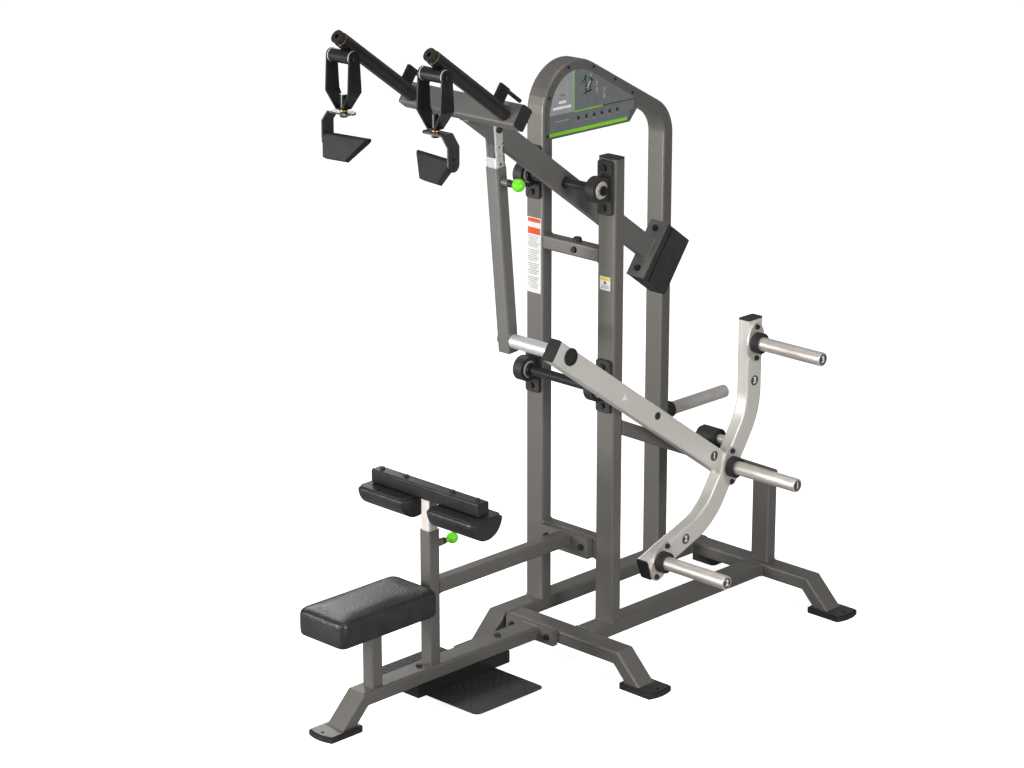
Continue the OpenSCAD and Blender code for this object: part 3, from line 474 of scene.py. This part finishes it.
def thigh_roll(side):
    """D-shaped roller pad: a round cushion under its flat board, with seamed end panels."""
    node = f"thigh_pad_{side}"
    low, high = span(node)
    centre_y, top = (low.y + high.y) / 2, high.z
    radius = (high.y - low.y) / 2 - 0.003

    def section(scale, drop=0.0):
        arc = [(radius * scale * math.cos(a), radius * scale * math.sin(a))
               for a in (math.pi + math.pi * i / 22 for i in range(23))]
        flat = [(radius * scale * (1 - i / 4), 0) for i in range(1, 8)]
        return [Vector((0, centre_y + y, top - 0.006 - drop + z)) for y, z in arc + flat]

    ends = [(0.0015, 0.90), (0.004, 0.965), (0.012, 0.99)]
    places = ([(low.x + x, s) for x, s in ends]
              + [(low.x + (high.x - low.x) * i / 10, 1.0) for i in range(1, 10)]
              + [(high.x - x, s) for x, s in ends[::-1]])
    bm = bmesh.new()
    loft(bm, [[Vector((x, p.y, p.z)) for p in section(s, (1 - s) * 0.02)] for x, s in places])
    pad = piece(f"thigh_cushion_{side}", mesh_from(bm, node), "thigh_rest", "vinyl")
    simulate_pad(pad, 0.0055, 3.0, 0.005, lambda co: co.z > top - 0.012)
    finish_pad(pad)
    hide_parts(node)
    welt = bmesh.new()
    for x in (low.x + 0.0075, high.x - 0.0075):
        loop = [Vector((x, centre_y + (p.y - centre_y) * 1.025, p.z - 0.0005)) for p in section(1.0)]
        sweep(welt, on_surface(pad, resample(loop, 0.006), 0.0004), 0.0016, 8, closed=True)
    piece(f"thigh_welt_{side}", mesh_from(welt, "thigh_welt"), "thigh_rest", "vinyl")
    # Plywood board wrapped by the cover, between the cushion and the bar.
    board = rounded(high.x - low.x - 0.012, 2 * radius - 0.010, 0.018)
    plate(f"thigh_board_{side}", board, 0.0055,
          Vector(((low.x + high.x) / 2, centre_y, top - 0.0065)), Vector((0, 0, 1)),
          "thigh_rest", "vinyl", "black_plastic", bevel=0.001, up=Vector((0, 1, 0)))


crowned_seat()
thigh_roll("l")
thigh_roll("r")


# ---------------------------------------------------------------- weld beads
TUBE_W, TUBE_D, SMALL = 80, 50, 50


def weld_loop(bm, centre, normal, width, height, radius=0.0022):
    """A bead round the end of a tube. Width is along the first of the plane's two axes."""
    turn = basis(normal)
    line = [centre + turn @ Vector((x * MM, y * MM, 0)) for x, y in rounded(width, height, 6, 4)]
    sweep(bm, resample(line, 0.0016), radius, 7, closed=True, ripple=0.16, ripple_step=0.0048)


def weld_frame():
    up, forward, right = Vector((0, 0, 1)), Vector((0, -1, 0)), Vector((1, 0, 0))
    bm = bmesh.new()
    for x, y, z, w, d in ((170, 25, 124, TUBE_W, TUBE_D), (-170, 25, 124, TUBE_W, TUBE_D),
                          (-170, 655, 124, TUBE_W, TUBE_D), (170, 886, 124, TUBE_W, TUBE_D),
                          (0, -958, 124, SMALL, SMALL), (0, -686, 124, SMALL, SMALL)):
        weld_loop(bm, at(x, y, z), up, w, d)
    for side in (-1, 1):
        weld_loop(bm, at(side * 130, 25, 388), right, TUBE_D, TUBE_W)
        weld_loop(bm, at(side * 130, 25, 1461), right, SMALL, SMALL)
    weld_loop(bm, at(170, -96, 99), forward, TUBE_W, TUBE_D)
    weld_loop(bm, at(170, 831, 99), forward, TUBE_W, TUBE_D)
    for y in (-136, 871):
        weld_loop(bm, at(-130, y, 99), right, TUBE_W, TUBE_D)
    weld_loop(bm, at(0, -661, 400), forward, SMALL, SMALL)
    weld_loop(bm, at(0, -24, 400), forward, SMALL, 44)
    weld_loop(bm, at(0, -200, 99), forward, TUBE_W, TUBE_D)
    weld_loop(bm, at(170, 50, 846), forward, TUBE_W, 55)
    for x, y, along_x, sign in ((401, -136, True, 1), (422, 871, True, 1), (-170, 915, False, 1),
                                (-170, -190, False, -1), (0, -1034, False, -1)):
        shift = 67.5 * sign
        centre = at(x + shift, y, 21) if along_x else at(x, y + shift, 21)
        weld_loop(bm, centre, up, 70 if along_x else TUBE_W, TUBE_W if along_x else 70)
    piece("frame_welds", mesh_from(bm, "frame_welds"), "frame", "frame_paint")


def weld_arm():
    tilt = math.radians(35.8)
    along = Vector((0, -math.cos(tilt), math.sin(tilt)))
    bm = bmesh.new()
    weld_loop(bm, arm_pivot + along * 0.5465, along, 40, TUBE_W)
    weld_loop(bm, arm_pivot - along * 0.5465, along, 40, TUBE_W)
    piece("arm_welds", mesh_from(bm, "arm_welds"), "arm", "arm_paint")
    bm = bmesh.new()
    for side in (-1, 1):
        circle = [arm_pivot + Vector((side * 0.0203, 0.0187 * math.cos(a), 0.0187 * math.sin(a)))
                  for a in (math.tau * i / 40 for i in range(40))]
        sweep(bm, resample(circle, 0.0016), 0.002, 7, closed=True, ripple=0.16, ripple_step=0.0048)
    piece("arm_shaft_welds", mesh_from(bm, "arm_shaft_welds"), "arm", "black_paint")


def weld_lever():
    tilt = math.radians(35)
    along = Vector((0, -math.cos(tilt), math.sin(tilt)))
    bm = bmesh.new()
    centre = Vector((at(270, 0, 0).x, lever_pivot.y, lever_pivot.z)) - along * 0.6665
    weld_loop(bm, centre, along, TUBE_D, TUBE_W)
    piece("lever_welds", mesh_from(bm, "lever_welds"), "lever", "lever_paint")


weld_frame()
weld_arm()
weld_lever()


# ---------------------------------------------------------------- tread pattern
def tread_pattern():
    low, high = span("tread_plate")
    bm = bmesh.new()
    pitch, half_long, half_wide, height = 0.0185, 0.0098, 0.0026, 0.0016
    columns = int((high.x - low.x - 0.02) / pitch)
    rows = int((high.y - low.y - 0.02) / pitch)
    for i in range(columns + 1):
        for j in range(rows + 1):
            centre = Vector((low.x + 0.012 + i * pitch, low.y + 0.012 + j * pitch, high.z - 0.0002))
            angle = math.radians(45 if (i + j) % 2 else -45)
            turn = Matrix.Rotation(angle, 3, "Z")
            rim = [(-half_long, 0), (-half_long / 2, -half_wide), (half_long / 2, -half_wide),
                   (half_long, 0), (half_long / 2, half_wide), (-half_long / 2, half_wide)]
            base = [bm.verts.new(centre + turn @ Vector((x, y, 0))) for x, y in rim]
            crest = [bm.verts.new(centre + turn @ Vector((x * 0.62, y * 0.5, height))) for x, y in rim]
            bm.faces.new(crest)
            bm.faces.new(base[::-1])
            for k in range(6):
                bm.faces.new((base[k], base[(k + 1) % 6], crest[(k + 1) % 6], crest[k]))
    piece("tread_pattern", mesh_from(bm, "tread_pattern"), "frame", "tread_steel")


tread_pattern()


# ---------------------------------------------------------------- printed panel on the arch
def panel_art():
    """Generic exercise panel: tinted fields, bars and simple marks, with no lettering."""
    face_x = span("placard")[1].x
    normal = Vector((1, 0, 0))
    hub = at(0, 170, 1913.6)
    radius = 0.156
    slope = math.radians(28.4)
    top = hub + radius * Vector((0, math.sin(slope), math.cos(slope)))

    def upper_edge(y, inset):
        """Height of the panel's own edge over a place, drawn in by inset."""
        reach = radius - inset
        if y < hub.y + reach * math.sin(slope):
            return hub.z + math.sqrt(max(reach ** 2 - (y - hub.y) ** 2, 0))
        return top.z - (y - top.y) * math.tan(slope) - inset / math.cos(slope)

    def field(name, y0, y1, floor, inset, material, lift, ceiling=None, steps=18):
        """A tinted field between two uprights, from floor up to the panel's edge or a ceiling."""
        ys = [y0 + (y1 - y0) * i / steps for i in range(steps + 1)]
        crest = [(y, min(upper_edge(y, inset), ceiling or 99)) for y in ys]
        outline = [(y0, floor), (y1, floor)] + [(y, z) for y, z in crest[::-1]]
        bm = bmesh.new()
        turn = Matrix(((0, 0, 1), (1, 0, 0), (0, 1, 0)))
        add_prism(bm, outline, 0.0002, Vector((face_x + lift, 0, 0)), turn)
        piece(name, mesh_from(bm, name), "frame", "frame_paint", material, smooth=False)

    def y_at(mm):
        return at(0, mm, 0).y

    def z_at(mm):
        return mm * MM

    rim = 0.021
    layer = 0.0003
    field("panel_face", y_at(30), y_at(440), z_at(1840), rim, "panel_print", layer)
    field("panel_corner", y_at(440), y_at(463), z_at(1864), rim, "panel_print", layer, steps=6)
    field("panel_left_field", y_at(30), y_at(153), z_at(1902), rim, "grey_print", layer * 1.7)
    field("panel_left_divider", y_at(152), y_at(155), z_at(1902), rim, "green_print", layer * 2, steps=2)
    field("panel_dark_band", y_at(155), y_at(463), z_at(1899), rim, "dark_print", layer * 1.7,
          ceiling=z_at(1903), steps=2)
    field("panel_green_bar", y_at(30), y_at(428), z_at(1828), rim, "green_print", layer,
          ceiling=z_at(1840), steps=4)
    field("panel_rule_green", y_at(155), y_at(300), z_at(1899), rim, "green_print", layer * 2,
          ceiling=z_at(1903), steps=2)

    def mark(name, outline, y, z, material, turn_deg=0.0, lift=2):
        a = math.radians(turn_deg)
        turned = [(x * math.cos(a) - v * math.sin(a), x * math.sin(a) + v * math.cos(a))
                  for x, v in outline]
        place = at(0, y, z)
        plate(name, turned, 0.0002, Vector((face_x + layer * lift, place.y, place.z)), normal,
              "frame", "frame_paint", material)

    def bar(width, height):
        return rounded(width * MM, height * MM, min(width, height) * MM * 0.3, 2)

    # A plain bar with a small arrow head.
    mark("panel_arrow_a", bar(26, 5), 96, 1968, "panel_print")
    mark("panel_arrow_b", [(0, -0.006), (0.012, 0), (0, 0.006), (0.004, 0)], 112, 1968, "green_print")
    # Machine diagram: strokes, with a moving lever and two small muscle figures.
    for i, (y, z, w, h, turn) in enumerate(((212, 1992, 4, 62, 8), (236, 1980, 4, 44, -14),
                                            (222, 1962, 46, 4, 12), (204, 2008, 36, 4, 40),
                                            (240, 2004, 26, 4, -32), (216, 1978, 22, 3, 60))):
        mark(f"panel_diagram_{i}", bar(w, h), y, z, "black_plastic", turn)
    mark("panel_diagram_path", bar(30, 3), 226, 1986, "white_print", 52, 3)
    mark("panel_diagram_tip", [(0, -0.004), (0.010, 0), (0, 0.004)], 236, 2016, "green_print", 60, 3)
    for i, (y, z) in enumerate(((268, 1968), (308, 1940))):
        mark(f"panel_figure_{i}", bar(9, 30), y, z, "grey_print")
        mark(f"panel_figure_head_{i}", disc(0.005, 16), y, z + 21, "grey_print")
        mark(f"panel_figure_spot_{i}", disc(0.0042, 14), y + 2, z + 6, "red_print", 0, 3)
    # Two plain bars in place of a name.
    mark("panel_title_a", bar(36, 9), 94, 1944, "white_print")
    mark("panel_title_b", bar(92, 9), 92, 1925, "white_print")
    for i in range(6):
        y = 176 + i * 40
        mark(f"panel_icon_{i}", bar(13, 17), y, 1878, "black_plastic")
        mark(f"panel_icon_dot_{i}", disc(0.0028, 14), y, 1883, "grey_print", 0, 3)
        mark(f"panel_icon_bar_{i}", bar(18, 1.6), y, 1863, "grey_print")
    mark("panel_short_bar", bar(52, 3.5), 82, 1878, "grey_print")
    mark("panel_short_bar_green", bar(14, 3.5), 119, 1878, "green_print")


def frame_labels():
    """Plain labels on both uprights: colour blocks and rows of short grey rules."""
    normal = Vector((0, -1, 0))

    def block(name, x, z, width, height, material, lift):
        plate(name, rounded(width * MM, height * MM, 1.2 * MM, 3), 0.00015, at(x, -0.35 - lift, z),
              normal, "frame", "frame_paint", material)

    block("label_left", -172, 1406, 66, 272, "white_print", 0)
    block("label_left_head", -172, 1532, 60, 14, "orange_print", 0.2)
    block("label_left_block", -172, 1494, 60, 24, "orange_print", 0.2)
    rows = bmesh.new()
    turn = basis(normal)
    for i in range(32):
        z = 1474 - i * 6.2
        if i % 8 == 7:
            continue
        width = 54 - 7 * ((i * 5) % 4)
        outline = rounded(width * MM, 2.2 * MM, 0.6 * MM, 2)
        add_prism(rows, outline, 0.0001, at(-175 - (54 - width) / 8, -0.6, z), turn)
    piece("label_left_rules", mesh_from(rows, "rules"), "frame", "frame_paint", "grey_print", False)
    block("label_right", 167, 1369, 48, 48, "white_print", 0)
    block("label_right_head", 167, 1385, 44, 11, "yellow_print", 0.2)
    plate("label_right_mark", [(-0.007, -0.005), (0.007, -0.005), (0, 0.007)], 0.0001,
          at(167, -0.6, 1372), normal, "frame", "frame_paint", "black_plastic")
    for i in range(3):
        block(f"label_right_rule_{i}", 167, 1361 - i * 4.6, 38, 1.8, "grey_print", 0.2)


def number_disc(name, text, place, normal, radius, body, field="disc_print", ink="white_print"):
    plate(f"disc_{name}", disc(radius), 0.0007, place, normal, body, "black_plastic", field, 0.0002)
    digit(f"digit_{name}", text, radius * 1.7, place + normal * 0.0008, normal, body, ink)


def numbers():
    right = Vector((1, 0, 0))
    tip_x = 606.3
    for name, text, y, z in (("top_tip", "3", 657, 1045), ("middle_tip", "1", 535, 606),
                             ("bottom_tip", "2", 161, 342)):
        number_disc(name, text, at(tip_x, y, z), right, 0.0185, "lever")
    for name, text, y, z in (("top", "3", 660, 900), ("middle", "1", 445, 665),
                             ("bottom", "2", 298, 388)):
        number_disc(name, text, at(295.1, y, z), right, 0.019, "lever")


panel_art()
frame_labels()
numbers()


# ---------------------------------------------------------------- small fittings
def fittings():
    down_link = Vector(joints["link_adjust"]["axis"])
    hinge = joint_at("link_hinge")
    right, up, back = Vector((1, 0, 0)), Vector((0, 0, 1)), Vector((0, 1, 0))
    pin_centre = hinge + down_link * 0.1807
    # Position strip beside the link's adjusting holes. It cuts into the sleeve's bore where
    # arm_adjust reaches its maximum.
    rear = Vector((0, -down_link.z, down_link.y))
    face = Vector((span("link_inner_tube")[1].x + 0.00002, hinge.y, hinge.z)) + rear * 0.0165
    first_dot, dot_pitch = 0.058, 0.03
    plate("link_strip", rounded(0.0075, 0.078, 0.001, 2), 0.00008, face + down_link * 0.088,
          right, "link_inner", "chrome", "dark_print", up=-down_link)
    for i in range(3):
        plate(f"link_strip_dot_{i}", disc(0.0031, 20), 0.00016,
              face + down_link * (first_dot + dot_pitch * i),
              right, "link_inner", "chrome", "green_print")
    # Black collars behind both lime knobs, riding on the plungers.
    ring_piece("link_knob_collar", 0.0052, 0.0125, 0.018, pin_centre + right * 0.0605, right,
               "link_knob", "black_plastic", 0.0015)
    ring_piece("thigh_knob_collar", 0.0052, 0.0118, 0.016, at(0, -630.5, 550), back,
               "thigh_knob", "black_plastic", 0.0015)
    # Nylon washers at both ends of the yokes' barrels, and a brass washer under each yoke.
    for side in ("l", "r"):
        swing = joint_at(f"yoke_swing_{side}")
        for end in (-1, 1):
            place = swing + right * (end * 0.0470 + (0 if end > 0 else -0.0030))
            ring_piece(f"yoke_washer_{side}_{'a' if end < 0 else 'b'}", 0.0083, 0.0232, 0.0030, place,
                       right, f"handle_{side}", "black_plastic", 0.0006, "pale_nylon")
        ring_piece(f"swivel_brass_{side}", 0.0111, 0.0126, 0.0052,
                   swing - up * 0.1806, up, f"yoke_{side}", "bronze", 0.0005)
        swivel = joint_at(f"grip_swivel_{side}")
        outer = 1 if side == "r" else -1
        for drop in (0.076, 0.101):
            place = swivel + right * (outer * 0.0831) - up * drop
            plate(f"grip_screw_{side}_{int(drop * 1000)}", disc(0.0055, 20), 0.0026, place,
                  right * outer, f"grip_{side}", "fastener", bevel=0.0008)


fittings()


def shaft_keys():
    """Retaining bolts on the exposed ends of the upper shaft and the lever's plugs."""
    right = Vector((1, 0, 0))
    end = Vector((at(200, 0, 0).x, arm_pivot.y, arm_pivot.z))
    plate("upper_shaft_screw", disc(0.009, 6), 0.005, end, right, "upper_shaft", "fastener", bevel=0.001)
    tilt = math.radians(35)
    along = Vector((0, -math.cos(tilt), math.sin(tilt)))
    over = Vector((0, math.sin(tilt), math.cos(tilt)))
    plug = Vector((at(298, 0, 0).x, lever_pivot.y, lever_pivot.z)) + along * 0.3276 + over * 0.0117
    ring_piece("plug_rim", 0.024, 0.0305, 0.0022, plug, right, "lever", "black_plastic", 0.0008)
    for angle in (40, 160, 280):
        a = math.radians(angle)
        place = plug + along * 0.013 * math.cos(a) + over * 0.013 * math.sin(a)
        plate(f"plug_rib_{angle}", rounded(0.010, 0.005, 0.002, 3), 0.0016, place, right, "lever",
              "black_plastic", bevel=0.0005)
    mark = Vector((at(295.1, 0, 0).x, lever_pivot.y, lever_pivot.z)) - along * 0.012
    plate("lever_pivot_mark", [(-0.012, -0.010), (0.012, -0.010), (0, 0.012)], 0.0002, mark, right,
          "lever", "lever_paint", "white_print")


shaft_keys()


# ---------------------------------------------------------------- stage, light and camera
def studio():
    floor_mesh = bpy.data.meshes.new("floor")
    floor_mesh.from_pydata([(-40, -40, 0), (40, -40, 0), (40, 40, 0), (-40, 40, 0)], [], [(0, 1, 2, 3)])
    floor = bpy.data.objects.new("floor", floor_mesh)
    bpy.context.collection.objects.link(floor)
    floor_mesh.materials.append(seen_white("floor_white"))

    # White to the camera, and a dim grey room in reflections, so that black parts stay black.
    world = bpy.data.worlds.new("studio")
    bpy.context.scene.world = world
    world.use_nodes = True
    nodes, links = world.node_tree.nodes, world.node_tree.links
    room = nodes["Background"]
    room.inputs["Color"].default_value = (0.95, 0.97, 1.0, 1)
    room.inputs["Strength"].default_value = 0.22
    white = nodes.new("ShaderNodeBackground")
    white.inputs["Color"].default_value = (1, 1, 1, 1)
    white.inputs["Strength"].default_value = 1.0
    path = nodes.new("ShaderNodeLightPath")
    mix = nodes.new("ShaderNodeMixShader")
    links.new(path.outputs["Is Camera Ray"], mix.inputs[0])
    links.new(room.outputs[0], mix.inputs[1])
    links.new(white.outputs[0], mix.inputs[2])
    links.new(mix.outputs[0], nodes["World Output"].inputs["Surface"])

    def softbox(name, place, target, size, power):
        light = bpy.data.lights.new(name, "AREA")
        light.shape = "RECTANGLE"
        light.size, light.size_y = size
        light.energy = power
        lamp = bpy.data.objects.new(name, light)
        bpy.context.collection.objects.link(lamp)
        lamp.location = place
        lamp.rotation_euler = (Vector(target) - Vector(place)).to_track_quat("-Z", "Y").to_euler()

    softbox("key", (-2.2, -5.4, 1.9), (0, 0, 1.0), (1.8, 2.4), 290)
    softbox("front", (2.6, -6.5, 3.0), (0, -0.4, 1.0), (1.2, 2.4), 90)
    softbox("top", (0.4, -0.6, 5.6), (0, 0, 0.5), (2.6, 2.6), 80)
    softbox("sheen", (-4.3, 2.1, 2.75), (0, -1.1, 0.44), (1.0, 1.0), 34)
    softbox("right", (6.4, -1.2, 2.2), (0, 0, 1.0), (1.6, 3.0), 260)


def seen_white(name):
    """Nearly white where the camera sees it, and mid grey to everything that reflects it."""
    mat = bpy.data.materials.new(name)
    mat.use_nodes = True
    nodes, links = mat.node_tree.nodes, mat.node_tree.links
    seen = nodes["Principled BSDF"]
    seen.inputs["Base Color"].default_value = (0.9, 0.9, 0.9, 1)
    seen.inputs["Roughness"].default_value = 0.9
    seen.inputs["Emission Color"].default_value = (1, 1, 1, 1)
    seen.inputs["Emission Strength"].default_value = 0.82
    reflected = nodes.new("ShaderNodeBsdfDiffuse")
    reflected.inputs["Color"].default_value = (0.32, 0.32, 0.32, 1)
    path = nodes.new("ShaderNodeLightPath")
    mix = nodes.new("ShaderNodeMixShader")
    links.new(path.outputs["Is Camera Ray"], mix.inputs[0])
    links.new(reflected.outputs[0], mix.inputs[1])
    links.new(seen.outputs[0], mix.inputs[2])
    links.new(mix.outputs[0], nodes["Material Output"].inputs["Surface"])
    return mat


def camera():
    """The photograph's viewpoint: a long lens, 44 degrees round and 17.5 degrees above."""
    data = bpy.data.cameras.new("camera")
    data.sensor_width = 36
    data.lens = 105.1
    data.shift_x = -0.0072
    data.shift_y = -0.0011
    data.clip_end = 100
    view = bpy.data.objects.new("camera", data)
    bpy.context.collection.objects.link(view)
    view.location = at(6860.6, -7283.0, 4126.7)
    view.rotation_euler = Euler((math.radians(90 - 17.49), 0, math.radians(44.29)))
    bpy.context.scene.camera = view


studio()
camera()
bpy.context.scene.view_settings.view_transform = "Standard"
